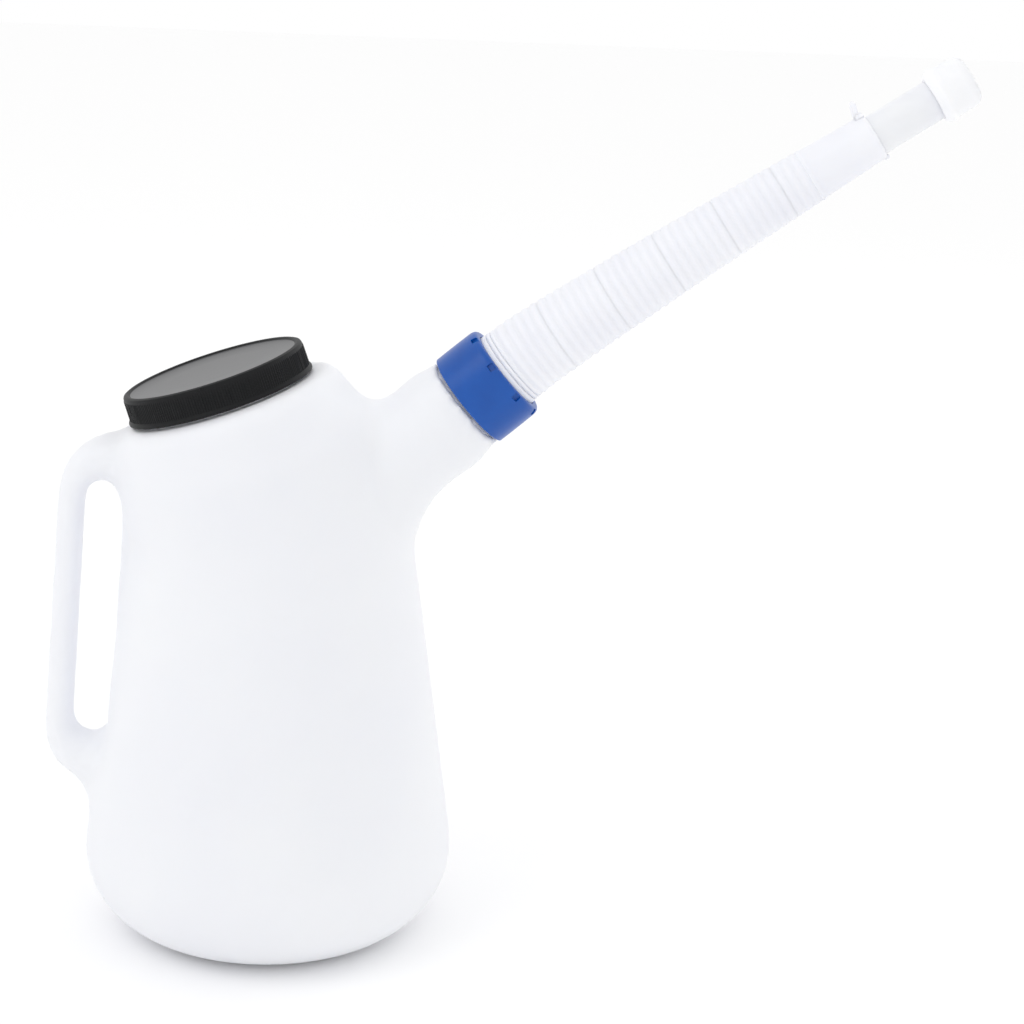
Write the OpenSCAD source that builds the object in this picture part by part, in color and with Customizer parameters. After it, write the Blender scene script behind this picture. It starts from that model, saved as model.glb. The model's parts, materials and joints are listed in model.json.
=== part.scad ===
// Oil transfer and measuring jug: a blown plastic jug with a moulded-in handle, a black
// screw lid on a sloping filler neck, and a flexible corrugated pouring spout that a blue
// collar nut holds on a raked spout neck. A small push-on cap closes the nozzle.
// Origin: centre of the base on the ground. +Z is up and the spout points to +X.

/* [Jug] */
// Largest outer radius of the jug, low on its wall
base_r = 93; // [76:0.5:115]
// Radius of the rounding round the base
base_round = 42; // [30:0.5:50]
// Height of the waist, where the leaning wall meets the shoulder
waist_z = 198; // [160:1:240]
// Outer radius of the jug at the waist
waist_r = 70.5; // [66:0.5:76]
// Wall thickness of the blown jug
wall = 1.8; // [1.2:0.1:2.6]
// Height that the middle of the base is pushed up
push_up = 4; // [2:0.5:8]
// Width of the flat ring that the jug stands on
foot_ring_w = 15; // [8:0.5:20]

/* [Filler neck and lid] */
// Lean of the filler neck, away from the spout, in degrees
filler_tilt = 18.85; // [12:0.05:24]
// Distance of the lid's lower edge behind the jug's axis
filler_back = 26.2; // [20:0.1:32]
// Height of the lid's lower edge above the waist
filler_rise = 76.1; // [72:0.1:84]
// Outer radius of the filler neck, without its thread
filler_r = 42; // [34:0.5:44]
// Wall thickness of both necks
neck_wall = 2.4; // [1.8:0.1:3.2]
// Height of the lid
lid_h = 14.6; // [12.5:0.1:18]
// Wall thickness of the lid
lid_wall = 1.6; // [1.2:0.1:2.6]
// Depth of the dished top inside the lid's rim
lid_dish = 1; // [0.5:0.1:2]
// Thickness of the foam liner in the lid
liner_t = 1.5; // [1:0.1:2]

/* [Spout neck and collar] */
// Rise of the spout's axis above level, in degrees
spout_angle = 41.1; // [36:0.1:48]
// Distance of the collar's lower face in front of the jug's axis
spout_reach = 94.7; // [90:0.1:110]
// Height of the centre of the collar's lower face above the waist
spout_rise = 78.3; // [72:0.1:86]
// Outer radius of the spout's root on the jug
root_r = 27; // [25:0.5:31]
// Outer radius of the spout neck inside the collar
spout_r = 20.6; // [17:0.1:22]
// Height of the collar nut
collar_h = 24.2; // [20:0.1:30]
// Wall thickness of the collar nut
collar_wall = 2.3; // [1.8:0.1:3]
// Thickness of the rubber gasket under the spout's flange
gasket_t = 1.5; // [1:0.1:2]
// Thickness of the flange on the spout
flange_t = 2; // [1.5:0.1:2.6]

/* [Threads] */
// Rise of both threads in one turn
thread_pitch = 5; // [4.4:0.1:6]
// Height of a thread ridge
thread_h = 1.6; // [1.2:0.1:1.8]

/* [Flexible spout] */
// Length of the straight first part of the spout beyond the collar
hose_root_len = 14; // [10:1:20]
// Distance between two bending points of the spout
link_len = 32; // [24:1:40]
// Width of the flange beyond the corrugations at the collar
flange_lip = 2.3; // [1.5:0.1:4]
// Step from the cuff up to the corrugation beside it
cuff_step = 1.7; // [1:0.1:3]
// Wall thickness of the spout
hose_wall = 0.9; // [0.7:0.1:1.4]
// Distance from one corrugation to the next
rib_pitch = 4.7; // [4:0.1:6]
// Depth of the corrugations
rib_depth = 1; // [0.6:0.1:2]

/* [Nozzle] */
// Wall thickness of the plain cuff round the nozzle
cuff_wall = 1.7; // [1:0.1:2.6]
// Length of the cuff
cuff_len = 34.6; // [28:0.1:42]
// Outer radius of the nozzle
nozzle_r = 10; // [8:0.1:12]
// Length of the nozzle beyond the cuff
nozzle_len = 50.5; // [42:0.5:60]
// Thickness of the cap's side beside the nozzle
cap_side = 3; // [2:0.1:5]
// Length of the nozzle cap
cap_len = 20.5; // [16:0.5:26]

/* [Handle] */
// Thickness of the handle, front to back
grip_t = 14.5; // [12:0.5:18]
// Width of the handle
grip_w = 24; // [20:0.5:30]
// Room for the fingers between the handle and the jug's waist
finger_gap = 21.5; // [20:0.5:30]
// Height of the middle of the handle's top arm above the waist
handle_rise = 47.5; // [42:0.5:50]
// Height of the handle's lower bend above the base
handle_low_z = 104; // [92:1:120]

/* [Hidden] */
$fn = 64;
eps = 0.01;

// Clearances: between faces that seat, and between parts that turn or bend
seat_gap = 0.15;
run_gap = 0.3;

// Jug: the wall leans in on a line that is tangent to the rounding of the base
corner_x = base_r - base_round;
push_up_r = corner_x - foot_ring_w;
waist_dx = waist_r - corner_x;
waist_dz = waist_z - base_round;
lean = atan2(waist_dz, waist_dx) - acos(base_round / norm([waist_dx, waist_dz]));
push_up_slope = 6;
split_below_waist = 24;
split_z = waist_z - split_below_waist;

// Shoulder that carries the filler neck, measured along the neck's axis
filler_z = waist_z + filler_rise;
boss_shift = 3;
boss_top = -2;
boss_edge = 3.5;
boss_r = filler_r + 11.5;
boss_mid_r = waist_r - 4.5;
boss_mid_z = -30;
boss_foot_r = waist_r - 1.5;
boss_foot_z = -75;

// Lid and what lies in it
lid_run_r = filler_r + thread_h + 0.6;
lid_r = lid_run_r + lid_wall;
lid_flare = 1;
lid_plate = 1.8;
liner_top = lid_h - lid_dish - lid_plate - seat_gap;
filler_rim_z = liner_top - liner_t - seat_gap;
filler_bore_r = filler_r - neck_wall;
liner_r = lid_run_r - run_gap;

// Spout neck and collar, measured along the spout's axis from the collar's lower face
spout_z = waist_z + spout_rise;
root_top = -16;
root_mid = -44;
root_foot = -72;
root_foot_r = root_r + 14;
spout_bore_r = spout_r - neck_wall + 0.4;
collar_run_r = spout_r + thread_h + 0.6;
collar_r = collar_run_r + collar_wall;
collar_plate = 2.4;
flange_top = collar_h - collar_plate - seat_gap;
gasket_top = flange_top - flange_t - seat_gap;
spout_rim_z = gasket_top - gasket_t - seat_gap;
flange_r = collar_run_r - run_gap;
collar_notches = 8;

// Thread ridges: the ridge in the nut runs just under the ridge on the neck
ridge_root = 2;
ridge_tip = 1.1;
ridge_sink = 0.4;
ridge_steps = 24;
ridge_drop = ridge_root + run_gap;
ridge_turns = 1;

// Flexible spout: its rest curve falls a little at each bending point
droop = [5.1, 0.8, 0.4, 0.4, 0.2];
links = len(droop);
hose_len = hose_root_len + links * link_len;
hose_r_start = flange_r - flange_lip;
cuff_r = nozzle_r + cuff_wall;
hose_r_end = cuff_r + cuff_step;
plain_end = 1.2;
ball_wall = 1;
web_t = 1;

function axis_dir(angle) = [cos(angle), 0, sin(angle)];
function heading(k) = k == 0 ? spout_angle : heading(k - 1) - droop[k - 1];
function bend_point(k) =
    k == 1 ? [spout_reach, 0, spout_z] + axis_dir(spout_angle) * (collar_h + hose_root_len)
           : bend_point(k - 1) + axis_dir(heading(k - 1)) * link_len;
function hose_r(s) = hose_r_start + (hose_r_end - hose_r_start) * s / hose_len;
function groove_r(s) = hose_r(s) - rib_depth;
function bore_r(s) = groove_r(s) - hose_wall;
function bend_s(k) = hose_root_len + (k - 1) * link_len;
function end_gap(k) = 0.2 * groove_r(bend_s(k)) + 0.4;
function ball_r(k) = norm([bore_r(bend_s(k)) - run_gap, end_gap(k)]);

// Cuff, nozzle and cap
cuff_bore_r = nozzle_r - 0.4;
nozzle_bore_r = nozzle_r - 1.4;
nozzle_in = 24;
nozzle_tip_r = nozzle_r - 1.6;
nozzle_tip_len = 6;
cap_gap = 0.2;
cap_r = nozzle_r + cap_side;
cap_lip = 0.9;
cap_foot = 1.3;
cap_wall = 1.2;

// Handle: a straight grip between an upper and a lower bend. Each point of its path holds
// x, z, thickness and the direction that faces away from the bend's centre.
bend_r = 22;
bend_steps = 7;
ring_sides = 20;
grip_lean = 3.9;
grip_turn = 180 - grip_lean;
lower_turn = 62;
arm_len = 34;
arm_t = grip_t + 4;
foot_t = grip_t + 8;
upper_x = -(waist_r + finger_gap + grip_t / 2) + bend_r;
upper_z = waist_z + handle_rise - bend_r;
grip_len = upper_z - handle_low_z;
lower_x = upper_x - grip_len * sin(grip_lean);
lower_z = upper_z - grip_len * cos(grip_lean);
low_turn = grip_turn + lower_turn;

// Finger slot: as wide at its foot as at its top, so it bites a little into the jug's wall
slot_ease = 0.5;
slot_r = finger_gap / 2 - slot_ease;
slot_foot = 2;
slot_head = 5;
slot_low_z = handle_low_z + slot_foot;
slot_len = upper_z - slot_head - slot_low_z;
slot_low_x = upper_x - bend_r + grip_t / 2 + slot_ease + slot_r
             - (upper_z - slot_low_z) * tan(grip_lean);

function soft(v) = sign(v) * pow(abs(v), 0.85);
function bend_path(x, z, a0, a1, t0, t1) =
    [for (i = [0:bend_steps])
        let (u = i / bend_steps, a = a0 + (a1 - a0) * u)
            [x + bend_r * cos(a), z + bend_r * sin(a), t0 + (t1 - t0) * u, a]];

handle_path = concat(
    [[upper_x + arm_len, upper_z + bend_r, arm_t, 90]],
    bend_path(upper_x, upper_z, 90, grip_turn, arm_t, grip_t),
    bend_path(lower_x, lower_z, grip_turn, low_turn, grip_t, arm_t),
    [[lower_x + bend_r * cos(low_turn) - arm_len * sin(low_turn),
      lower_z + bend_r * sin(low_turn) + arm_len * cos(low_turn), foot_t, low_turn]]);

// ---------------------------------------------------------------- places

module at_filler() translate([-filler_back, 0, filler_z]) rotate([0, -filler_tilt, 0]) children();

module at_spout() translate([spout_reach, 0, spout_z]) rotate([0, 90 - spout_angle, 0]) children();

module at_bend(k) translate(bend_point(k)) rotate([0, 90 - heading(k), 0]) children();

module at_tip() at_bend(links) translate([0, 0, link_len]) children();

// ---------------------------------------------------------------- shared shapes

module tube(outer, inner, from, to)
    translate([0, 0, from])
        difference() {
            cylinder(r = outer, h = to - from);
            translate([0, 0, -1]) cylinder(r = inner, h = to - from + 2);
        }

// One helical thread ridge: root radius, tip radius, height of its start
module ridge(root, tip, start) {
    count = ridge_turns * ridge_steps;
    half_root = ridge_root / 2;
    half_tip = ridge_tip / 2;
    section = [[root, -half_root], [root, half_root], [tip, half_tip], [tip, -half_tip]];
    points = [for (i = [0:count], p = section)
        let (turn = 360 * i / ridge_steps, rise = thread_pitch * i / ridge_steps)
            [p[0] * cos(turn), p[0] * sin(turn), p[1] + rise + half_root + start]];
    sides = [for (i = [0:count - 1], j = [0:3])
        let (a = 4 * i + j, b = 4 * i + (j + 1) % 4) each [[a, b + 4, b], [a, a + 4, b + 4]]];
    last = 4 * count;
    ends = [[0, 1, 2, 3], [last + 3, last + 2, last + 1, last]];
    faces = concat(sides, ends);
    polyhedron(points, tip > root ? faces : [for (f = faces) [for (q = [len(f) - 1:-1:0]) f[q]]]);
}

// ---------------------------------------------------------------- jug

// Half section of the round body, drawn smaller all round by t
module body_section(t) {
    foot = corner_x;
    wall_x = corner_x + (base_round - t) * cos(lean);
    wall_z = base_round + (base_round - t) * sin(lean);
    neck_x = waist_r - t / cos(lean);
    polygon([[0, push_up + t], [push_up_r - push_up_slope, push_up + t], [push_up_r, t], [foot, t],
             [foot, base_round], [wall_x, wall_z], [neck_x, waist_z], [0, waist_z]]);
    intersection() {
        translate([foot, base_round]) circle(r = base_round - t);
        translate([foot, t]) square([base_r, wall_z - t]);
    }
    intersection() {
        translate([0, waist_z]) circle(r = neck_x);
        translate([0, waist_z - eps]) square([waist_r, waist_r + 1]);
    }
}

// Space that the fingers pass through, from side to side, wider all round by t
module finger_slot(t) {
    r = slot_r + t;
    rotate([90, 0, 0])
        linear_extrude(height = 2 * base_r, center = true)
            translate([slot_low_x, slot_low_z])
                rotate(-grip_lean) {
                    circle(r = r);
                    translate([-r, 0]) square([2 * r, slot_len]);
                    translate([0, slot_len]) circle(r = r);
                }
}

// Body and filler boss, without the root of the spout, thinner all round by t
module body_solid(t) {
    difference() {
        union() {
            rotate_extrude() body_section(t);
            at_filler()
                translate([boss_shift, 0, 0])
                    rotate_extrude()
                        polygon([[0, boss_foot_z + t], [boss_foot_r - t, boss_foot_z + t],
                                 [boss_mid_r - t, boss_mid_z],
                                 [boss_r - t, boss_top - boss_edge - t / 2],
                                 [boss_r - boss_edge - t / 2, boss_top - t], [0, boss_top - t]]);
        }
        finger_slot(t);
    }
}

// Root of the spout, a tapered branch that runs into the body, thinner all round by t
module root_solid(t) {
    at_spout()
        rotate_extrude()
            polygon([[0, root_foot], [root_foot_r - t, root_foot], [root_r - t, root_mid],
                     [root_r - t, root_top - 2 - t / 2], [root_r - 2 - t / 2, root_top - t],
                     [0, root_top - t]]);
}

// Space below the plane where the lower body ends and the shoulder starts
module below_split()
    translate([-2 * base_r, -2 * base_r, -1]) cube([4 * base_r, 4 * base_r, split_z + 1]);

module jug_body() {
    color("whitesmoke")
        intersection() {
            difference() {
                body_solid(0);
                body_solid(wall);
            }
            below_split();
        }
}

module jug_shoulder() {
    color("whitesmoke")
        difference() {
            body_solid(0);
            body_solid(wall);
            root_solid(wall);
            below_split();
            at_filler() translate([0, 0, boss_top - 8]) cylinder(r = filler_bore_r, h = 12);
        }
}

module spout_root() {
    color("whitesmoke")
        difference() {
            root_solid(0);
            root_solid(wall);
            body_solid(0);
            at_spout() translate([0, 0, root_top - 8]) cylinder(r = spout_bore_r, h = 12);
        }
}

// Ring of points round the handle's path: an oval that is thinner all round by t
function grip_ring(p, t) =
    [for (j = [0:ring_sides - 1])
        let (a = 360 * j / ring_sides,
             out = (p[2] / 2 - t) * soft(cos(a)),
             side = (grip_w / 2 - t) * soft(sin(a)))
            [p[0] + out * cos(p[3]), side, p[1] + out * sin(p[3])]];

module handle_solid(t) {
    rings = len(handle_path);
    points = [for (p = handle_path) each grip_ring(p, t)];
    sides = [for (i = [0:rings - 2], j = [0:ring_sides - 1])
        let (a = i * ring_sides + j, b = i * ring_sides + (j + 1) % ring_sides)
            each [[a, b + ring_sides, b], [a, a + ring_sides, b + ring_sides]]];
    last = (rings - 1) * ring_sides;
    ends = [[for (j = [0:ring_sides - 1]) j], [for (j = [ring_sides - 1:-1:0]) last + j]];
    polyhedron(points, concat(sides, ends));
}

module handle() {
    color("whitesmoke")
        difference() {
            handle_solid(0);
            finger_slot(0);
            difference() {
                handle_solid(wall);
                finger_slot(wall);
            }
            body_solid(0);
        }
}

// ---------------------------------------------------------------- necks

module filler_neck() {
    color("whitesmoke")
        at_filler() {
            tube(filler_r, filler_bore_r, boss_top, filler_rim_z);
            ridge(filler_r - ridge_sink, filler_r + thread_h, 3.2);
        }
}

module spout_neck() {
    bead = spout_r + 1.4;
    color("whitesmoke")
        at_spout() {
            difference() {
                union() {
                    cylinder(r = spout_r, h = spout_rim_z);
                    translate([0, 0, root_top]) cylinder(r = bead, h = -root_top - 1);
                    translate([0, 0, -1 - eps]) cylinder(r1 = bead, r2 = spout_r, h = 1 + eps);
                }
                translate([0, 0, root_top - 1]) cylinder(r = spout_bore_r, h = spout_rim_z - root_top + 2);
            }
            ridge(spout_r - ridge_sink, spout_r + thread_h, 7.4);
        }
}

// ---------------------------------------------------------------- lid

module lid() {
    shoulder = 2;
    color("#26272A")
        at_filler() {
            rotate_extrude()
                difference() {
                    polygon([[0, 0], [lid_r + lid_flare, 0], [lid_r + lid_flare, 1.2], [lid_r + 0.4, 2],
                             [lid_r, lid_h - shoulder], [lid_r - shoulder * 0.35, lid_h - shoulder * 0.35],
                             [lid_r - shoulder, lid_h], [0, lid_h]]);
                    translate([-1, -1]) square([lid_run_r + 1, lid_h - lid_dish - lid_plate + 1]);
                    translate([-1, lid_h - lid_dish]) square([lid_r - shoulder - 1.4 + 1, lid_dish + 1]);
                }
            ridge(lid_run_r + ridge_sink, filler_r + run_gap + 0.3, 3.2 - ridge_drop);
        }
}

module lid_liner() {
    color("gainsboro")
        at_filler() translate([0, 0, liner_top - liner_t]) cylinder(r = liner_r, h = liner_t);
}

// ---------------------------------------------------------------- collar and gasket

module spout_collar() {
    shoulder = 2.4;
    hole_r = hose_r_start + run_gap;
    color("#2F62B5")
        at_spout() {
            difference() {
                rotate_extrude()
                    difference() {
                        polygon([[0, 0], [collar_r, 0], [collar_r, 2], [collar_r - 0.2, collar_h - shoulder],
                                 [collar_r - 0.9, collar_h - 0.7], [collar_r - shoulder, collar_h],
                                 [0, collar_h]]);
                        translate([-1, -1]) square([collar_run_r + 1, collar_h - collar_plate + 1]);
                        translate([-1, 0]) square([hole_r + 1, collar_h + 1]);
                    }
                for (i = [0:collar_notches - 1])
                    rotate([0, 0, (i + 0.5) * 360 / collar_notches])
                        translate([collar_r - 1.1, -1.8, collar_h - 2.6]) cube([3, 3.6, 4]);
            }
            ridge(collar_run_r + ridge_sink, spout_r + run_gap + 0.3, 7.4 - ridge_drop);
        }
}

module spout_gasket() {
    color("dimgray")
        at_spout() tube(spout_r - 0.2, spout_bore_r, gasket_top - gasket_t, gasket_top);
}

// ---------------------------------------------------------------- flexible spout

// Corrugated tube along +Z, from distance s0 to s1 along the spout; z = 0 lies at s_zero
module corrugated(s0, s1, s_zero) {
    ribs = round((s1 - s0 - 2 * plain_end) / rib_pitch);
    step = (s1 - s0 - 2 * plain_end) / ribs;
    outline = [for (i = [0:ribs - 1])
        let (s = s0 + plain_end + i * step)
            each [[groove_r(s + step * 0.1), s + step * 0.1], [hose_r(s + step * 0.35), s + step * 0.35],
                  [hose_r(s + step * 0.65), s + step * 0.65], [groove_r(s + step * 0.9), s + step * 0.9]]];
    translate([0, 0, -s_zero])
        rotate_extrude()
            polygon(concat([[bore_r(s0), s0], [groove_r(s0), s0]], outline,
                           [[groove_r(s1), s1], [bore_r(s1), s1]]));
}

// Ball at the near end of a link: a hollow zone of a sphere that sits in the tube before it,
// and a web that joins it to the link's own tube
module link_ball(k) {
    r = ball_r(k);
    back = 0.62 * r;
    front = end_gap(k) + web_t;
    difference() {
        union() {
            intersection() {
                sphere(r = r);
                translate([0, 0, -back]) cylinder(r = r + 1, h = back + front);
            }
            translate([0, 0, end_gap(k)]) cylinder(r = bore_r(bend_s(k)) + hose_wall / 2, h = web_t);
        }
        sphere(r = r - ball_wall);
    }
}

module hose_link(k) {
    s = bend_s(k);
    stop = k == links ? s + link_len : s + link_len - end_gap(k + 1);
    color("ghostwhite")
        at_bend(k) {
            corrugated(s + end_gap(k), stop, s);
            link_ball(k);
        }
}

module hose_root() {
    color("ghostwhite")
        at_spout() {
            tube(flange_r, bore_r(0), flange_top - flange_t, flange_top);
            tube(groove_r(0) + 0.8, bore_r(0), flange_top - eps, collar_h);
            corrugated(0, hose_root_len - end_gap(1), -collar_h);
        }
}

module hose_link_1() hose_link(1);
module hose_link_2() hose_link(2);
module hose_link_3() hose_link(3);
module hose_link_4() hose_link(4);
module hose_link_5() hose_link(5);

// Plain cuff moulded on the end of the spout, with its thumb tab
module hose_cuff() {
    tab_w = 1.8;
    color("ghostwhite")
        at_tip() {
            difference() {
                union() {
                    cylinder(r1 = hose_r_end - rib_depth + 0.9, r2 = cuff_r, h = 6);
                    translate([0, 0, 6 - eps]) cylinder(r = cuff_r, h = cuff_len - 6 + eps);
                    translate([0, 0, cuff_len - 1.6]) cylinder(r = cuff_r + 0.6, h = 1.6);
                    translate([-cuff_r - 8, -tab_w / 2, cuff_len - 3.5]) cube([9, tab_w, 3.5]);
                }
                translate([0, 0, -1]) cylinder(r = cuff_bore_r, h = cuff_len + 2);
                translate([0, 0, cuff_len - nozzle_in]) cylinder(r = nozzle_r, h = nozzle_in + 1);
            }
        }
}

module nozzle() {
    end = nozzle_in + nozzle_len;
    straight = end - nozzle_tip_len;
    color("ghostwhite")
        at_tip()
            translate([0, 0, cuff_len - nozzle_in])
                rotate_extrude()
                    polygon([[nozzle_bore_r, 0], [nozzle_r, 0], [nozzle_r, straight],
                             [nozzle_tip_r, end], [nozzle_tip_r - 1, end],
                             [nozzle_bore_r, straight]]);
}

module nozzle_cap() {
    start = cuff_len + nozzle_len - cap_len + cap_wall + 0.6;
    inner = nozzle_r + cap_gap;
    color("ghostwhite")
        at_tip()
            translate([0, 0, start])
                rotate_extrude()
                    difference() {
                        polygon([[0, 0], [cap_r - cap_foot, 0], [cap_r + cap_lip, 3.4],
                                 [cap_r + cap_lip, 4.6], [cap_r + 0.2, 6], [cap_r, cap_len - 4.5],
                                 [cap_r - 1.4, cap_len - 1.6], [cap_r - 4.5, cap_len], [0, cap_len]]);
                        translate([-1, -1]) square([inner + 1, cap_len - cap_wall + 1]);
                    }
}

// ---------------------------------------------------------------- drawing

jug_body();
jug_shoulder();
spout_root();
handle();
filler_neck();
spout_neck();
lid();
lid_liner();
spout_collar();
spout_gasket();
hose_root();
hose_link_1();
hose_link_2();
hose_link_3();
hose_link_4();
hose_link_5();
hose_cuff();
nozzle();
nozzle_cap();
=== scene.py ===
import json
from math import acos, atan2, cos, hypot, pi, radians, sin

import bpy
from mathutils import Matrix, Vector


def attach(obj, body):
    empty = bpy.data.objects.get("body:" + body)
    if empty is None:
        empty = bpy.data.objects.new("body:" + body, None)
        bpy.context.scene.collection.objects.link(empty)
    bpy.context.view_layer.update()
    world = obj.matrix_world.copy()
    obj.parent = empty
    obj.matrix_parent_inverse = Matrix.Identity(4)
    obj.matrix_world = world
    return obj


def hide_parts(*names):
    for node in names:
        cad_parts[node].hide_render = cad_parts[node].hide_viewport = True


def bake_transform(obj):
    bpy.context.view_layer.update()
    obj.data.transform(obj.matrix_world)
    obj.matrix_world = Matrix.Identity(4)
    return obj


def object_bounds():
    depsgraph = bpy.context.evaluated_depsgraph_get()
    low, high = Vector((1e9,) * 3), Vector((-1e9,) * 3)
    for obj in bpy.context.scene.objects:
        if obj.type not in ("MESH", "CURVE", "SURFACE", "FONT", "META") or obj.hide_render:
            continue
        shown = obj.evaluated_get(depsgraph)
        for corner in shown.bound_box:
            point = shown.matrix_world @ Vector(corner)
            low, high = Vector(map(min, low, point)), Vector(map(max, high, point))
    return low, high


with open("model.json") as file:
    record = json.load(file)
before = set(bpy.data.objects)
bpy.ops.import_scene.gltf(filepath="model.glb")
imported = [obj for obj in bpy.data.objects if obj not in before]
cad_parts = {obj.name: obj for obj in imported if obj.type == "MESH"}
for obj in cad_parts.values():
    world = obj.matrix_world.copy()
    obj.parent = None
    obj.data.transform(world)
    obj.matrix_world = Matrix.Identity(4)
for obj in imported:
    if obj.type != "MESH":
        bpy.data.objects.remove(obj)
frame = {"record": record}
cad_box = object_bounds()

# ---- Camera and studio -------------------------------------------------------------------------
# The jug stands on a white sweep under a large even sky of softboxes, as a catalogue picture is
# taken: a long lens a little above the lid, and one softer key from the upper left.

MM = 0.001
LENS = 84.4
SENSOR = 36
FAR = 50
CAMERA_RISE = radians(15.35)
CAMERA_TURN = radians(-0.53)
CAMERA_ROLL = radians(2.3)
CAMERA_AT = Vector((0.10748, -1.14665, 0.53533))


def camera_matrix(place, rise, turn, roll):
    """Looks level along +Y at rise 0 and turn 0, and turns the picture by roll."""
    back = Vector((sin(turn) * cos(rise), -cos(turn) * cos(rise), sin(rise)))
    right = Vector((cos(turn), sin(turn), 0))
    up = back.cross(right)
    across = cos(roll) * right + sin(roll) * up
    upright = cos(roll) * up - sin(roll) * right
    return Matrix.Translation(place) @ Matrix((across, upright, back)).transposed().to_4x4()


def colour(code):
    """sRGB hex to linear RGBA."""
    parts = [int(code[i:i + 2], 16) / 255 for i in (1, 3, 5)]
    return [c / 12.92 if c <= 0.04045 else ((c + 0.055) / 1.055) ** 2.4 for c in parts] + [1]


bpy.ops.object.select_all(action="DESELECT")
bpy.ops.object.camera_add()
camera = bpy.context.object
camera.name = "camera"
camera.data.lens = LENS
camera.data.sensor_width = SENSOR
camera.data.clip_end = FAR
camera.matrix_world = camera_matrix(CAMERA_AT, CAMERA_RISE, CAMERA_TURN, CAMERA_ROLL)
bpy.context.scene.camera = camera

SKY_STRENGTH = 1.0
world = bpy.data.worlds.new("studio")
world.use_nodes = True
world.node_tree.nodes["Background"].inputs["Color"].default_value = colour("#FFFFFF")
world.node_tree.nodes["Background"].inputs["Strength"].default_value = SKY_STRENGTH
bpy.context.scene.world = world
bpy.context.scene.view_settings.view_transform = "Standard"


def softbox(name, place, target, size, watts):
    bpy.ops.object.light_add(type="AREA", location=place)
    lamp = bpy.context.object
    lamp.name = name
    lamp.data.size = size
    lamp.data.energy = watts
    lamp.rotation_euler = (Vector(target) - Vector(place)).to_track_quat("-Z", "Y").to_euler()
    return lamp


KEY_WATTS = 5
RIM_WATTS = 2
softbox("key_softbox", (-1.2, -1.0, 1.9), (0.05, 0, 0.2), 1.2, KEY_WATTS)
softbox("rim_softbox", (1.4, 0.9, 1.2), (0.1, 0, 0.25), 0.9, RIM_WATTS)

FLOOR_HALF = 6.0
FLOOR_GAP = 0.2 * MM
bpy.ops.mesh.primitive_grid_add(x_subdivisions=4, y_subdivisions=4, size=2 * FLOOR_HALF,
                                location=(0, 0, cad_box[0][2] - FLOOR_GAP))
floor = bpy.context.object
floor.name = "floor"
paper = bpy.data.materials.new("white_paper_sweep")
paper.use_nodes = True
paper.node_tree.nodes["Principled BSDF"].inputs["Base Color"].default_value = colour("#FDFDFD")
paper.node_tree.nodes["Principled BSDF"].inputs["Roughness"].default_value = 0.9
paper.node_tree.nodes["Principled BSDF"].inputs["Specular IOR Level"].default_value = 0.1
floor.data.materials.append(paper)

# ---- Jug ---------------------------------------------------------------------------------------
# One blow moulding in natural high-density polyethylene, about 1.8 mm thick: a round body with a
# deep soft rounding at its base, a sloping filler boss, a raked spout root and a hollow handle.
# The tool's two halves leave a fine parting line, and the parison's pinch-off crosses the base.

BASE_R = 93 * MM
BASE_ROUND = 42 * MM
PUSH_UP = 4 * MM
PUSH_UP_R = 36 * MM
PUSH_UP_SLOPE = 8 * MM
WAIST_Z = 198 * MM
WAIST_R = 70.5 * MM
JUG_WALL = 1.8 * MM
FILLER_AT = Vector((-26.2 * MM, 0, WAIST_Z + 76.1 * MM))
FILLER_TILT = radians(18.85)
SPOUT_AT = Vector((94.7 * MM, 0, WAIST_Z + 78.3 * MM))
SPOUT_RISE = radians(41.1)
FILLER_PLACE = Matrix.Translation(FILLER_AT) @ Matrix.Rotation(-FILLER_TILT, 4, "Y")
SPOUT_PLACE = Matrix.Translation(SPOUT_AT) @ Matrix.Rotation(pi / 2 - SPOUT_RISE, 4, "Y")


def select_only(piece):
    bpy.ops.object.select_all(action="DESELECT")
    piece.select_set(True)
    bpy.context.view_layer.objects.active = piece


def settle(piece, place):
    """Puts the piece's place into its mesh and leaves its object at the origin."""
    select_only(piece)
    piece.matrix_world = place @ piece.matrix_world
    bpy.ops.object.transform_apply(location=True, rotation=True, scale=True)


POLE = 0.004 * MM


def turned(name, outline, sides, place=Matrix()):
    """Draws a ring and extrudes it along outline, a list of (radius, height): a turned shape.
    An outline that ends where it began gives a closed tube."""
    bpy.ops.object.select_all(action="DESELECT")
    radius, height = outline[0]
    bpy.ops.mesh.primitive_circle_add(vertices=sides, radius=radius, location=(0, 0, height))
    piece = bpy.context.object
    piece.name = piece.data.name = name
    bpy.ops.object.transform_apply(location=True, rotation=True, scale=True)
    bpy.ops.object.mode_set(mode="EDIT")
    bpy.ops.mesh.select_all(action="SELECT")
    for next_radius, next_height in outline[1:]:
        bpy.ops.mesh.extrude_region_move(
            TRANSFORM_OT_translate={"value": (0, 0, next_height - height)})
        grow = next_radius / radius
        bpy.ops.transform.resize(value=(grow, grow, 1), center_override=(0, 0, next_height))
        radius, height = next_radius, next_height
    bpy.ops.mesh.select_all(action="SELECT")
    bpy.ops.mesh.remove_doubles(threshold=POLE * 2.5)
    bpy.ops.mesh.normals_make_consistent(inside=False)
    bpy.ops.object.mode_set(mode="OBJECT")
    settle(piece, place)
    return piece


def arc(x, z, radius, start, stop, steps):
    """Points on a circle round (x, z), from start to stop in degrees."""
    return [(x + radius * cos(radians(start + (stop - start) * i / steps)),
             z + radius * sin(radians(start + (stop - start) * i / steps)))
            for i in range(steps + 1)]


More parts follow.
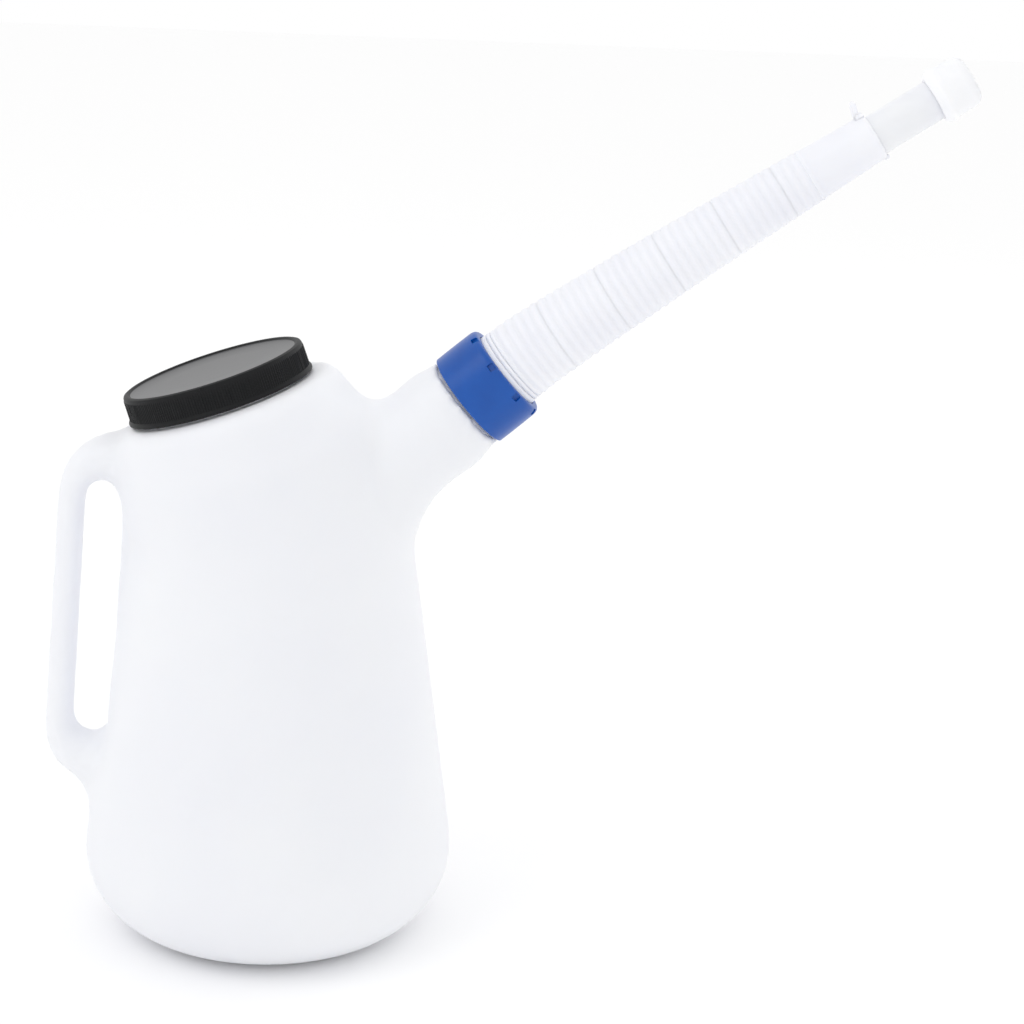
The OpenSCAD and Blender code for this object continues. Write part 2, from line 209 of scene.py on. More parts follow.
def joined(pieces, name):
    bpy.ops.object.select_all(action="DESELECT")
    for piece in pieces:
        piece.select_set(True)
    bpy.context.view_layer.objects.active = pieces[0]
    bpy.ops.object.join()
    pieces[0].name = pieces[0].data.name = name
    return pieces[0]


def modified(piece, kind, **settings):
    """Adds one modifier with its settings and applies it."""
    select_only(piece)
    modifier = piece.modifiers.new(kind.lower(), kind)
    for setting, value in settings.items():
        setattr(modifier, setting, value)
    bpy.ops.object.modifier_apply(modifier=modifier.name)
    return piece


# The body's wall leans in on the line that is tangent to the rounding of the base
corner_x = BASE_R - BASE_ROUND
lean = (atan2(WAIST_Z - BASE_ROUND, WAIST_R - corner_x)
        - acos(BASE_ROUND / hypot(WAIST_R - corner_x, WAIST_Z - BASE_ROUND)))
ROUND_STEPS = 16
DOME_STEPS = 14
SIDES = 96
body = turned("jug_body", [(POLE, PUSH_UP), (PUSH_UP_R - PUSH_UP_SLOPE, PUSH_UP), (PUSH_UP_R, 0)]
              + arc(corner_x, BASE_ROUND, BASE_ROUND, -90, lean * 180 / pi, ROUND_STEPS)
              + [(WAIST_R, WAIST_Z)] + arc(0, WAIST_Z, WAIST_R, 6, 84, DOME_STEPS)
              + [(POLE, WAIST_Z + WAIST_R)], SIDES)

BOSS_R = 55 * MM
BOSS_SHIFT = Matrix.Translation((3 * MM, 0, 0))
BOSS_FOOT = -75 * MM
BOSS_TOP = -1.4 * MM
boss = turned("filler_boss", [(POLE, BOSS_FOOT), (WAIST_R - 1.5 * MM, BOSS_FOOT),
                              (WAIST_R - 4.5 * MM, -30 * MM), (BOSS_R, -4.5 * MM),
                              (BOSS_R - 3 * MM, BOSS_TOP), (POLE, BOSS_TOP)],
              SIDES, FILLER_PLACE @ BOSS_SHIFT)

ROOT_R = 27 * MM
ROOT_FOOT = -72 * MM
ROOT_TOP = -1 * MM
root = turned("spout_root", [(POLE, ROOT_FOOT), (ROOT_R + 14 * MM, ROOT_FOOT),
                             (ROOT_R + 1 * MM, -46 * MM), (ROOT_R, -34 * MM),
                             (ROOT_R - 0.2 * MM, -12 * MM), (ROOT_R - 2.3 * MM, -10 * MM),
                             (ROOT_R - 2.5 * MM, ROOT_TOP), (POLE, ROOT_TOP)],
              SIDES, SPOUT_PLACE)

# Handle: a bent bar, drawn as a curve in the middle plane and widened sideways to an oval
GRIP_T = 14.5 * MM
GRIP_W = 24 * MM
BEND_R = 22 * MM
GRIP_LEAN = 3.9
UPPER_BEND_R = 24 * MM
ARM_RISE = 3 * MM
FINGER_ROOM = 21.5 * MM
HANDLE_TOP = 45.5 * MM
HANDLE_LOW = 104 * MM
FOOT_TURN = 62
RUN_IN = 30 * MM
TOP_SWELL = 3.2 * MM
FOOT_SWELL = 4.6 * MM
BEND_STEPS = 8
grip_x = -(WAIST_R + FINGER_ROOM + GRIP_T / 2)
upper_x = grip_x + UPPER_BEND_R
upper_z = WAIST_Z + HANDLE_TOP - UPPER_BEND_R
grip_len = upper_z - HANDLE_LOW
lower_x = grip_x - grip_len * sin(radians(GRIP_LEAN)) + BEND_R
lower_z = upper_z - grip_len * cos(radians(GRIP_LEAN))
low_turn = 180 - GRIP_LEAN + FOOT_TURN
bends = (arc(upper_x, upper_z, UPPER_BEND_R, 90, 180 - GRIP_LEAN, BEND_STEPS)
         + arc(lower_x, lower_z, BEND_R, 180 - GRIP_LEAN, low_turn, BEND_STEPS))
foot = (bends[-1][0] - RUN_IN * sin(radians(low_turn)),
        bends[-1][1] + RUN_IN * cos(radians(low_turn)))
route = [(upper_x + RUN_IN, upper_z + UPPER_BEND_R + ARM_RISE)] + bends + [foot]


def bar_thickness(height):
    """Half the handle's thickness: fuller where its two ends run into the body."""
    top = max(0, (height - upper_z) / UPPER_BEND_R)
    low = max(0, (lower_z - height) / BEND_R)
    return GRIP_T / 2 + TOP_SWELL * top ** 1.5 + FOOT_SWELL * low ** 1.2


bpy.ops.curve.primitive_bezier_curve_add()
handle = bpy.context.object
handle.name = "handle_bar"
handle.data.splines.clear()
spline = handle.data.splines.new("POLY")
spline.points.add(len(route) - 1)
for point, (x, z) in zip(spline.points, route):
    point.co = (x, 0, z, 1)
    point.radius = bar_thickness(z)
handle.data.bevel_depth = 1
handle.data.bevel_resolution = 8
handle.data.use_fill_caps = True
select_only(handle)
bpy.ops.object.convert(target="MESH")
handle = bpy.context.object
handle.scale = (1, GRIP_W / GRIP_T, 1)
settle(handle, Matrix())

# Behind the fingers the blown wall runs straight down, where the two halves of the tool meet
WEB_X = (-78 * MM, -64 * MM)
WEB_Z = (98 * MM, 232 * MM)
WEB_EDGE = 3 * MM
bpy.ops.object.select_all(action="DESELECT")
bpy.ops.mesh.primitive_cube_add(size=1, location=(sum(WEB_X) / 2, 0, sum(WEB_Z) / 2),
                                scale=(WEB_X[1] - WEB_X[0], GRIP_W, WEB_Z[1] - WEB_Z[0]))
web = bpy.context.object
bpy.ops.object.transform_apply(location=True, rotation=True, scale=True)
modified(web, "BEVEL", width=WEB_EDGE, segments=3)

jug = joined([body, boss, root, handle, web], "jug")
VOXEL = 2.6 * MM
modified(jug, "REMESH", mode="VOXEL", voxel_size=VOXEL, use_smooth_shade=True)


def cutter(radius, low, high, place, sides=SIDES):
    bpy.ops.object.select_all(action="DESELECT")
    bpy.ops.mesh.primitive_cylinder_add(vertices=sides, radius=radius, depth=high - low,
                                        location=(0, 0, (low + high) / 2))
    tool = bpy.context.object
    bpy.ops.object.transform_apply(location=True, rotation=True, scale=True)
    settle(tool, place)
    return tool


def cut(piece, tool):
    modified(piece, "BOOLEAN", operation="DIFFERENCE", solver="EXACT", object=tool)
    bpy.data.objects.remove(tool)


# The finger slot is as wide at its foot as at its top, so it bites a little into the body's wall
SLOT_LOW = Vector((-90.1 * MM, 0, 104.2 * MM))
SLOT_HIGH = Vector((-83.3 * MM, 0, 220 * MM))
SLOT_R = 10.2 * MM
SLOT_HALF_WIDTH = 40 * MM
slot_lean = atan2(SLOT_HIGH.x - SLOT_LOW.x, SLOT_HIGH.z - SLOT_LOW.z)
slot = cutter(SLOT_R, -SLOT_HALF_WIDTH, SLOT_HALF_WIDTH, Matrix.Rotation(pi / 2, 4, "X"), 48)
slot_length = (SLOT_HIGH - SLOT_LOW).length
for vertex in slot.data.vertices:
    if vertex.co.z > 0:
        vertex.co.z += slot_length
settle(slot, Matrix.Translation(SLOT_LOW) @ Matrix.Rotation(slot_lean, 4, "Y"))
cut(jug, slot)
modified(jug, "REMESH", mode="VOXEL", voxel_size=VOXEL, use_smooth_shade=True)

# The blown wall runs in soft fillets where the branches meet: (x, z) of each, its reach, all in
# millimetres, and its strength. The foot and the rim under the collar nut stay nearly as they are
FILLETS = [((50, 275), 23, 1.0), ((80, 226), 26, 1.0), ((-70, 234), 24, 1.0), ((-84, 96), 22, 1.0),
           ((-94, 68), 20, 1.0)]
FOOT_HEIGHT = 3 * MM
NECK_CRISP = -13 * MM
SOFTENING = 70
SOFT_STEP = 0.9
SOFT_ALL_OVER = 0.12
SOFT_AT_NECK = 0.03
FILLET_EDGE = 1.6
soft = jug.vertex_groups.new(name="soft")
for vertex in jug.data.vertices:
    weight = SOFT_ALL_OVER if vertex.co.z > FOOT_HEIGHT else 0
    for (x, z), reach, strength in FILLETS:
        away = hypot(vertex.co.x - x * MM, vertex.co.z - z * MM) / (reach * MM)
        weight = max(weight, strength * min(1, FILLET_EDGE * (1 - away)))
    if (SPOUT_PLACE.inverted() @ vertex.co).z > NECK_CRISP:
        weight = SOFT_AT_NECK
    soft.add([vertex.index], weight, "REPLACE")
modified(jug, "SMOOTH", factor=SOFT_STEP, iterations=SOFTENING, vertex_group="soft")
modified(jug, "SOLIDIFY", thickness=JUG_WALL, offset=-1)

FILLER_R = 42 * MM
SPOUT_R = 20.6 * MM
NECK_WALL = 2.4 * MM
BORE_EASE = 0.4 * MM
cut(jug, cutter(FILLER_R - NECK_WALL, -16 * MM, 8 * MM, FILLER_PLACE))
cut(jug, cutter(SPOUT_R - NECK_WALL + BORE_EASE, -34 * MM, 0, SPOUT_PLACE))

# The cuts leave a few slivers on their rims, folded flat so that two triangles share all corners
modified(jug, "TRIANGULATE")
by_corners = {}
for face in jug.data.polygons:
    by_corners.setdefault(tuple(sorted(face.vertices)), []).append(face.index)
folded = [index for faces in by_corners.values() if len(faces) > 1 for index in faces]
select_only(jug)
bpy.ops.object.mode_set(mode="EDIT")
bpy.ops.mesh.select_mode(type="FACE")
bpy.ops.mesh.select_all(action="DESELECT")
bpy.ops.object.mode_set(mode="OBJECT")
for index in folded:
    jug.data.polygons[index].select = True
bpy.ops.object.mode_set(mode="EDIT")
bpy.ops.mesh.delete(type="ONLY_FACE")
bpy.ops.mesh.select_mode(type="VERT")
bpy.ops.mesh.delete_loose()
bpy.ops.object.mode_set(mode="OBJECT")

THREAD_PITCH = 5 * MM
THREAD_H = 1.6 * MM
RIDGE_ROOT = 2 * MM
RIDGE_TIP = 1.1 * MM
RIDGE_SINK = 0.4 * MM


def thread(name, root_r, tip_r, start, place):
    """One turn of a trapezium ridge, drawn flat and swept by a Screw modifier."""
    bpy.ops.object.select_all(action="DESELECT")
    bpy.ops.mesh.primitive_plane_add(size=1)
    ridge = bpy.context.object
    ridge.name = ridge.data.name = name
    middle = start + RIDGE_ROOT / 2
    for vertex in ridge.data.vertices:
        outer = vertex.co.x > 0
        half = (RIDGE_TIP if outer else RIDGE_ROOT) / 2
        height = middle + (half if vertex.co.y > 0 else -half)
        vertex.co = (tip_r if outer else root_r, 0, height)
    modified(ridge, "SCREW", axis="Z", angle=2 * pi, screw_offset=THREAD_PITCH, steps=SIDES,
             render_steps=SIDES, use_smooth_shade=False)
    bpy.ops.object.mode_set(mode="EDIT")
    bpy.ops.mesh.select_all(action="SELECT")
    bpy.ops.mesh.fill_holes(sides=4)
    bpy.ops.mesh.select_all(action="SELECT")
    bpy.ops.mesh.normals_make_consistent(inside=False)
    bpy.ops.object.mode_set(mode="OBJECT")
    settle(ridge, place)
    return ridge


def ring_outline(points):
    """A closed section, given in millimetres: the outline comes back to its first point."""
    return [(r * MM, z * MM) for r, z in points + points[:1]]


FILLER_RIM = 8.35
filler_neck = turned("filler_neck", ring_outline(
    [(39.6, -3.6), (43.4, -3.6), (43.2, -2.4), (42.2, -1.6), (42, -0.8), (42, 7.7),
     (41.4, FILLER_RIM), (40.1, FILLER_RIM), (39.6, 7.9)]), 128, FILLER_PLACE)
filler_thread = thread("filler_thread", FILLER_R - RIDGE_SINK, FILLER_R + THREAD_H, 3.2 * MM,
                       FILLER_PLACE)
SPOUT_RIM = 17.9
spout_neck = turned("spout_neck", ring_outline(
    [(18.6, -22.4), (22.4, -22.4), (22.4, -8), (22.3, -2), (21.6, -0.8), (20.6, -0.2), (20.6, 17.3),
     (20.1, SPOUT_RIM), (19, SPOUT_RIM), (18.6, 17.4)]), SIDES, SPOUT_PLACE)
spout_thread = thread("spout_thread", SPOUT_R - RIDGE_SINK, SPOUT_R + THREAD_H, 7.4 * MM,
                      SPOUT_PLACE)

PINCH_SIZE = (52 * MM, 1.4 * MM, 1.6 * MM)
bpy.ops.object.select_all(action="DESELECT")
bpy.ops.mesh.primitive_cube_add(size=1, location=(0, 0, PUSH_UP - 0.1 * MM), scale=PINCH_SIZE)
pinch_off = bpy.context.object
bpy.ops.object.transform_apply(location=True, rotation=True, scale=True)
modified(pinch_off, "BEVEL", width=0.4 * MM, segments=2)
jug = joined([jug, filler_neck, filler_thread, spout_neck, spout_thread, pinch_off], "jug")


def smooth_by_angle(piece, degrees):
    select_only(piece)
    bpy.ops.object.shade_smooth_by_angle(angle=radians(degrees))


smooth_by_angle(jug, 40)


def material(name):
    made = bpy.data.materials.new(name)
    made.use_nodes = True
    return made


def add(made, kind, links, **settings):
    """Adds a node. links maps input names to sockets, and settings sets inputs or properties."""
    node = made.node_tree.nodes.new(kind)
    for key, value in settings.items():
        if hasattr(node, key):
            setattr(node, key, value)
        else:
            node.inputs[key.replace("_", " ")].default_value = value
    for key, socket in links.items():
        made.node_tree.links.new(socket, node.inputs[key])
    return node


def shader(made, **settings):
    surface = made.node_tree.nodes["Principled BSDF"]
    for key, value in settings.items():
        surface.inputs[key.replace("_", " ")].default_value = value
    return surface


def polyethylene(name, low, high, cloud_mm, peel_mm, parting_line, soak_mm=6):
    """Natural polyethylene: milky and waxy, with light soaking a few millimetres in. Blowing leaves
    slow changes of thickness, seen as faint clouds, and a very fine orange peel."""
    made = material(name)
    place = add(made, "ShaderNodeTexCoord", {}).outputs["Object"]
    clouds = add(made, "ShaderNodeTexNoise", {"Vector": place}, Scale=1000 / cloud_mm, Detail=2)
    tint = add(made, "ShaderNodeValToRGB", {"Fac": clouds.outputs["Fac"]})
    tint.color_ramp.elements[0].position = 0.3
    tint.color_ramp.elements[0].color = colour(low)
    tint.color_ramp.elements[1].position = 0.7
    tint.color_ramp.elements[1].color = colour(high)
    peel = add(made, "ShaderNodeTexNoise", {"Vector": place}, Scale=1000 / peel_mm, Detail=3)
    height = peel.outputs["Fac"]
    if parting_line:
        across = add(made, "ShaderNodeSeparateXYZ", {"Vector": place}).outputs["Y"]
        away = add(made, "ShaderNodeMath", {0: across}, operation="ABSOLUTE").outputs[0]
        line = add(made, "ShaderNodeMapRange", {"Value": away}, From_Max=0.5 * MM, To_Min=2.5,
                   To_Max=0)
        height = add(made, "ShaderNodeMath", {0: height, 1: line.outputs[0]},
                     operation="ADD").outputs[0]
    bump = add(made, "ShaderNodeBump", {"Height": height}, Strength=0.12, Distance=0.15 * MM)
    surface = shader(made, Roughness=0.42, IOR=1.54, Subsurface_Weight=0.45,
                     Subsurface_Radius=(1, 0.95, 0.9), Subsurface_Scale=soak_mm * MM)
    made.node_tree.links.new(tint.outputs["Color"], surface.inputs["Base Color"])
    made.node_tree.links.new(bump.outputs["Normal"], surface.inputs["Normal"])
    return made


jug.data.materials.clear()
jug.data.materials.append(polyethylene("blown_polyethylene", "#F4F5FC", "#FAFBFF", 90, 2.4,
                                       True))
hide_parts(*frame["record"]["behaviour"]["bodies"]["jug"])
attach(jug, "jug")

# ---- Lid ---------------------------------------------------------------------------------------
# Black polypropylene screw lid, injection moulded: a finely ribbed skirt with a flared bead below,
# a thin raised rim, and a dished top with a finer satin texture than the sides. The top is also
# given a paler grey than the skirt: painted sheen.

RIBS = 220
SIDES_PER_RIB = 4
RIB_RISE = 0.3 * MM
RIB_LOW, RIB_HIGH = 2.6 * MM, 12 * MM
RIB_SHARE = 0.4
SKIRT_R = 45 * MM
lid = turned("lid", [(r * MM, z * MM) for r, z in
                     [(0.004, 11.8), (30, 11.8), (43.6, 11.8), (44.2, 11.2), (44.2, 0.3), (44.6, 0),
                      (46.2, 0), (46.7, 0.2), (46.8, 0.9), (46.5, 1.6), (45.75, 2.4), (45.6, 2.7),
                      (45.55, 6), (45.5, 9), (45.45, 11.9), (45.5, 12.4), (45.4, 13.3), (45, 14.1),
                      (44, 14.55), (43.2, 14.6), (42.6, 14.35), (41.9, 13.7), (41.2, 13.5),
                      (25, 13.2), (0.004, 13)]], RIBS * SIDES_PER_RIB)
for vertex in lid.data.vertices:
    radius = hypot(vertex.co.x, vertex.co.y)
    turn = (atan2(vertex.co.y, vertex.co.x) / (2 * pi) * RIBS) % 1
    if RIB_LOW < vertex.co.z < RIB_HIGH and radius > SKIRT_R and turn < RIB_SHARE:
        vertex.co.x *= 1 + RIB_RISE / radius
        vertex.co.y *= 1 + RIB_RISE / radius
settle(lid, FILLER_PLACE)
THREAD_EASE = 0.6 * MM
lid_thread = thread("lid_thread", 44.6 * MM, FILLER_R + THREAD_EASE, 0.9 * MM, FILLER_PLACE)
TICK_AT = (0, -44.9 * MM, 13.5 * MM)
TICK_SIZE = (1.6 * MM, 1.4 * MM, 2 * MM)
bpy.ops.object.select_all(action="DESELECT")
bpy.ops.mesh.primitive_cube_add(size=1, location=TICK_AT, scale=TICK_SIZE)
tick = bpy.context.object
bpy.ops.object.transform_apply(location=True, rotation=True, scale=True)
modified(tick, "BEVEL", width=0.3 * MM, segments=2)
settle(tick, FILLER_PLACE)
lid = joined([lid, lid_thread, tick], "lid")
smooth_by_angle(lid, 35)


def moulded(name, dark, light, grain_mm, roughness, strength, **finish):
    """Injection-moulded plastic: even colour, with the fine spark-eroded texture of its tool."""
    made = material(name)
    place = add(made, "ShaderNodeTexCoord", {}).outputs["Object"]
    grain = add(made, "ShaderNodeTexNoise", {"Vector": place}, Scale=1000 / grain_mm, Detail=4)
    tint = add(made, "ShaderNodeValToRGB", {"Fac": grain.outputs["Fac"]})
    tint.color_ramp.elements[0].color = colour(dark)
    tint.color_ramp.elements[1].color = colour(light)
    bump = add(made, "ShaderNodeBump", {"Height": grain.outputs["Fac"]}, Strength=strength,
               Distance=0.1 * MM)
    surface = shader(made, Roughness=roughness, **finish)
    made.node_tree.links.new(tint.outputs["Color"], surface.inputs["Base Color"])
    made.node_tree.links.new(bump.outputs["Normal"], surface.inputs["Normal"])
    return made


lid.data.materials.clear()
PP_IOR = 1.49
lid.data.materials.append(moulded("black_polypropylene", "#0C0D0F", "#131416", 1.2, 0.5, 0.35,
                                  IOR=PP_IOR, Specular_IOR_Level=0.22))
# Second material, for the dished top: its paler grey than the skirt is painted sheen of the white
# sky. Its lower roughness, stronger specular and finer grain are the top's real satin finish.
lid.data.materials.append(moulded("satin_black_polypropylene_painted_sheen", "#17181C", "#222329", 0.8, 0.34,
                                  0.12, IOR=PP_IOR, Specular_IOR_Level=0.8))
TOP_FACE_Z = 12.5 * MM
TOP_FACE_R = 42.5 * MM
lid_axis = FILLER_PLACE.to_3x3() @ Vector((0, 0, 1))
# The faces of the dished top take the second material, with its painted sheen.
for face in lid.data.polygons:
    middle = FILLER_PLACE.inverted() @ face.center
    inside = middle.z > TOP_FACE_Z and hypot(middle.x, middle.y) < TOP_FACE_R
    if inside and face.normal.dot(lid_axis) > 0.9:
        face.material_index = 1
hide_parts("lid")
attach(lid, "lid")

# ---- Lid liner ---------------------------------------------------------------------------------
# Disc of closed-cell polyethylene foam, punched from sheet and pressed into the lid to seal it.
# The neck's rim leaves a shallow ring in its face.

liner = turned("lid_liner", [(r * MM, z * MM) for r, z in
                             [(0.004, 9.95), (39, 9.95), (39.9, 10.1), (41.6, 10.1), (42.4, 9.95),
                              (43.7, 9.98), (43.9, 10.2), (43.9, 11.2), (43.7, 11.4),
                              (0.004, 11.4)]],
               SIDES, FILLER_PLACE)
smooth_by_angle(liner, 40)
liner.data.materials.append(moulded("liner_foam", "#D9D9D6", "#EDEDEA", 0.9, 0.9, 0.6))
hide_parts("lid_liner")
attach(liner, "liner")

# ---- Collar nut --------------------------------------------------------------------------------
# Blue polypropylene nut, injection moulded, that clamps the spout's flange on the jug's neck. Its
# far shoulder is rounded, with eight small pockets for a spanner.

collar = turned("spout_collar", ring_outline(
    [(22.8, 0.3), (23.1, 0), (24.7, 0), (25.1, 0.4), (25.15, 6), (25.1, 14), (25, 20.6),
     (24.85, 22), (24.4, 23.2), (23.6, 24), (22.7, 24.2), (20.8, 24.2), (20.5, 23.9),
     (20.5, 22.1), (20.8, 21.8), (22.4, 21.8), (22.8, 21.4)]), 128)
POCKETS = 8
POCKET_AT = (25 * MM, 0, 22.2 * MM)
POCKET_SIZE = (3.4 * MM, 3.8 * MM, 3.2 * MM)
for number in range(POCKETS):
    bpy.ops.object.select_all(action="DESELECT")
    bpy.ops.mesh.primitive_cube_add(size=1, location=POCKET_AT, scale=POCKET_SIZE)
    pocket = bpy.context.object
    bpy.ops.object.transform_apply(location=True, rotation=True, scale=True)
    modified(pocket, "BEVEL", width=0.35 * MM, segments=2)
    settle(pocket, Matrix.Rotation(2 * pi * (number + 0.5) / POCKETS, 4, "Z"))
    cut(collar, pocket)
settle(collar, SPOUT_PLACE)
collar_thread = thread("collar_thread", 23.2 * MM, SPOUT_R + THREAD_EASE, 5.1 * MM, SPOUT_PLACE)
collar = joined([collar, collar_thread], "spout_collar")
smooth_by_angle(collar, 35)
collar.data.materials.clear()
collar.data.materials.append(moulded("blue_polypropylene", "#004699", "#0456B0", 14, 0.32, 0.1,
                                     IOR=PP_IOR, Specular_IOR_Level=0.42,
                                     Subsurface_Weight=0.12, Subsurface_Radius=(0.4, 0.7, 1),
                                     Subsurface_Scale=2 * MM))
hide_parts("spout_collar")
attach(collar, "collar")

# ---- Gasket ------------------------------------------------------------------------------------
# Flat ring of black nitrile rubber between the neck's rim and the spout's flange, cut from sheet.

gasket = turned("spout_gasket", ring_outline(
    [(18.6, 18.25), (18.8, 18.05), (20.2, 18.05), (20.4, 18.25), (20.4, 19.35), (20.2, 19.55),
     (18.8, 19.55), (18.6, 19.35)]), SIDES, SPOUT_PLACE)
smooth_by_angle(gasket, 40)
gasket.data.materials.append(moulded("nitrile_rubber", "#0F0F10", "#1A1A1B", 0.8, 0.75, 0.4))
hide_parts("spout_gasket")
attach(gasket, "gasket")

# ---- Flexible spout ----------------------------------------------------------------------------
# One corrugated tube of low-density polyethylene, blown and tapered, that bends in its grooves and
# droops a little at rest. It is drawn straight along Z, a ring for each turn of its outline, and
# then laid on its rest curve. It is parted in five grooves into separate pieces.

ROOT_LEN = 14.0
LINK_LEN = 32.0
DROOP = [5.1, 0.8, 0.4, 0.4, 0.2]
HOSE_LEN = ROOT_LEN + LINK_LEN * len(DROOP)
COLLAR_H = 24.2
BEND_REACH = 11.0
RIB_COUNT = 7
RIB_STEP = LINK_LEN / RIB_COUNT


def hose_r(s):
    return 20.2 - 6.8 * s / HOSE_LEN


def rib_depth(s):
    return 0.66 - 0.22 * s / HOSE_LEN


def heading(s):
    """Rise of the spout's axis in degrees, s millimetres beyond the collar."""
    angle = 41.1
    for number, drop in enumerate(DROOP):
        t = (s - ROOT_LEN - number * LINK_LEN + BEND_REACH) / (2 * BEND_REACH)
        t = min(max(t, 0), 1)
        angle -= drop * t * t * (3 - 2 * t)
    return radians(angle)


def spout_point(s):
    """Middle of the spout s millimetres beyond the collar, in metres."""
    point = SPOUT_PLACE @ Vector((0, 0, COLLAR_H * MM))
    steps = max(1, int(abs(s)))
    for number in range(steps):
        middle = s * (number + 0.5) / steps
        point += Vector((cos(heading(middle)), 0, sin(heading(middle)))) * s * MM / steps
    return point


def laid(piece):
    """Moves each ring of a straight piece to its place on the rest curve."""
    rings = {}
    for vertex in piece.data.vertices:
        s = vertex.co.z / MM
        key = round(s, 3)
        if key not in rings:
            rings[key] = (Matrix.Translation(spout_point(s))
                          @ Matrix.Rotation(pi / 2 - heading(s), 4, "Y"))
        vertex.co = rings[key] @ Vector((vertex.co.x, vertex.co.y, 0))
    return piece


def ribs(start, count):
    """Rounded corrugations from one groove to the next."""
    wave = [(0, 1), (0.1, 0.95), (0.24, 0.35), (0.38, 0.04), (0.5, 0), (0.62, 0.04), (0.76, 0.35),
            (0.9, 0.95)]
    return [(hose_r(s) - rib_depth(s) * deep, s)
            for number in range(count) for part, deep in wave
            for s in [start + (number + part) * RIB_STEP]]


def groove(s):
    return (hose_r(s) - rib_depth(s), s)


def bore(start, stop, steps=8):
    """The inside of the tube, from stop back to start."""
    return [(hose_r(s) - rib_depth(s) - 0.9, s)
            for s in [stop + (start - stop) * i / steps for i in range(steps + 1)]]


HOSE_SIDES = 112
FIRST_RIB = ROOT_LEN + LINK_LEN / 2 - 5 * RIB_STEP
plain_ring = [(20.0, -0.4), (20.0, 1.7), (19.7, 2.1), (18.9, 2.35), (19.6, 2.6), (19.9, 2.9),
              (19.8, 4.2), (19.4, 4.55), (18.8, 4.75), (19.5, 5), (19.7, 5.3), (19.6, 6.4),
              (19.2, 6.8)]
flange = [(20.0, -2.6), (22.1, -2.6), (22.4, -2.8), (22.4, -4.2), (22.2, -4.5), (18.3, -4.5)]
SOAK_MM = 1.2
hose_flexible = polyethylene("flexible_polyethylene", "#EAEBF2", "#F0F1F6", 40, 1.6, False,
                             SOAK_MM)


def spout_piece(name, outline, bodies, bend_at, *nodes):
    piece = laid(turned(name, ring_outline(outline), HOSE_SIDES))
    smooth_by_angle(piece, 50)
    piece.data.materials.append(hose_flexible)
    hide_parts(*nodes)
    spout_point(bend_at - BEND_REACH)
    spout_point(bend_at + BEND_REACH)
    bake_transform(piece)
    return piece


middle_1 = ROOT_LEN + LINK_LEN / 2
spout_piece("spout_tube_1", flange[::-1] + plain_ring + ribs(FIRST_RIB, 5) + [groove(middle_1)]
            + bore(-4.4, middle_1)[:-1], ("spout", "link_1"), ROOT_LEN, "hose_root")
for number in range(2, len(DROOP) + 1):
    start = middle_1 + (number - 2) * LINK_LEN
    spout_piece(f"spout_tube_{number}", ribs(start, RIB_COUNT) + [groove(start + LINK_LEN)]
                + bore(start, start + LINK_LEN), (f"link_{number - 1}", f"link_{number}"),
                start + LINK_LEN / 2, f"hose_link_{number - 1}")

# ---- Cuff --------------------------------------------------------------------------------------
# The spout's far end is a plain tapering cuff in the same moulding, with a lip, a thumb tab above
# and a small stop below.

CUFF_LEN = 34.6
last = HOSE_LEN - LINK_LEN / 2
cuff = turned("spout_cuff", ring_outline(
    ribs(last, 3) + [groove(last + 3 * RIB_STEP), (13.5, last + 14.2), (13.5, HOSE_LEN - 0.9),
                     (13.2, HOSE_LEN - 0.3), (12.95, HOSE_LEN + 0.6), (12.3, HOSE_LEN + 18),
                     (11.8, HOSE_LEN + 31.4), (11.9, HOSE_LEN + 32.4), (11.8, HOSE_LEN + 33.6),
                     (11.3, HOSE_LEN + 34.4), (10.4, HOSE_LEN + CUFF_LEN), (10.1, HOSE_LEN + 34.2),
                     (10.1, HOSE_LEN + 10.6), (9.6, HOSE_LEN + 10.2), (10.2, HOSE_LEN)]
    + bore(last, HOSE_LEN - 4, 3)), HOSE_SIDES)
laid(cuff)
TIP_PLACE = (Matrix.Translation(spout_point(HOSE_LEN))
             @ Matrix.Rotation(pi / 2 - heading(HOSE_LEN), 4, "Y"))


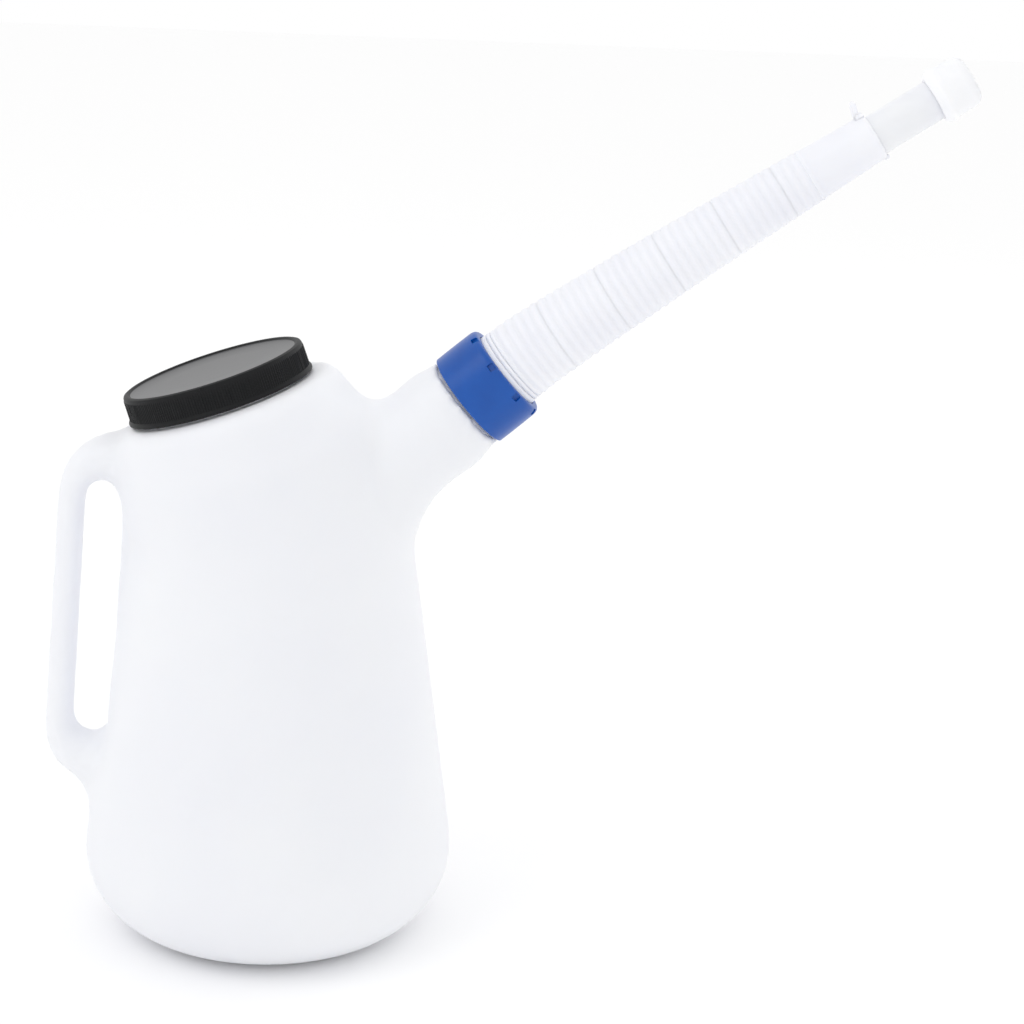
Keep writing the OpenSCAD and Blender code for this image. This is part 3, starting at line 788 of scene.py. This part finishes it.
def lug(place, size, lean):
    """A small rounded lug on the cuff, at a place in its own frame in millimetres."""
    bpy.ops.object.select_all(action="DESELECT")
    bpy.ops.mesh.primitive_cube_add(size=1, scale=[side * MM for side in size])
    made = bpy.context.object
    bpy.ops.object.transform_apply(location=True, rotation=True, scale=True)
    modified(made, "BEVEL", width=min(size) * 0.45 * MM, segments=4)
    settle(made, TIP_PLACE @ Matrix.Translation([p * MM for p in place])
           @ Matrix.Rotation(radians(lean), 4, "Y"))
    return made


thumb_tab = lug((-15.2, 0, 31.8), (9.6, 5.6, 2.9), 14)
tab_root = lug((-11.9, 0, 32.3), (3.6, 7.4, 4.6), 24)
stop_lug = lug((11.6, 0, 34.2), (2.4, 5, 3), 0)
cuff = joined([cuff, thumb_tab, tab_root, stop_lug], "spout_cuff")
smooth_by_angle(cuff, 40)
cuff.data.materials.clear()
cuff.data.materials.append(hose_flexible)
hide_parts("hose_link_5", "hose_cuff")
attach(cuff, "link_5")

# ---- Nozzle ------------------------------------------------------------------------------------
# Stiffer injection-moulded polyethylene tube pressed into the cuff, with a chamfered tip.

NOZZLE_END = 85.1
nozzle = turned("nozzle", ring_outline(
    [(8.6, 10.6), (9.9, 10.6), (10, 10.9), (10, 36), (9.95, 60), (9.9, 79), (8.6, 84.6),
     (8.3, NOZZLE_END), (7.6, NOZZLE_END), (7.5, 84.6), (8.5, 79)]), 80, TIP_PLACE)
smooth_by_angle(nozzle, 35)
nozzle.data.materials.append(polyethylene("moulded_polyethylene", "#F5F6FE", "#FBFCFF", 30, 1.8,
                                          False))
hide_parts("nozzle")
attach(nozzle, "link_5")

# ---- Nozzle cap --------------------------------------------------------------------------------
# Push-on cap of soft polyethylene that keeps dirt out: a flared grip ring and a domed end.

cap = turned("nozzle_cap", [(r * MM, z * MM) for r, z in
                            [(0.004, 85.7), (9.6, 85.7), (10.2, 85.1), (10.2, 67), (10.5, 66.5),
                             (11.4, 66.5), (12.2, 67.1), (13.3, 68.9), (13.8, 69.9), (13.9, 70.6),
                             (13.7, 71.6), (13.2, 72.6), (13.05, 74), (13, 81.6), (12.7, 83.2),
                             (11.9, 84.8), (10.6, 86), (8.6, 86.7), (5, 86.9), (0.004, 86.9)]],
             SIDES, TIP_PLACE)
smooth_by_angle(cap, 40)
cap.data.materials.append(polyethylene("soft_polyethylene", "#F9FAFF", "#FDFDFF", 25, 1.8, False))
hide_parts("nozzle_cap")
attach(cap, "cap")
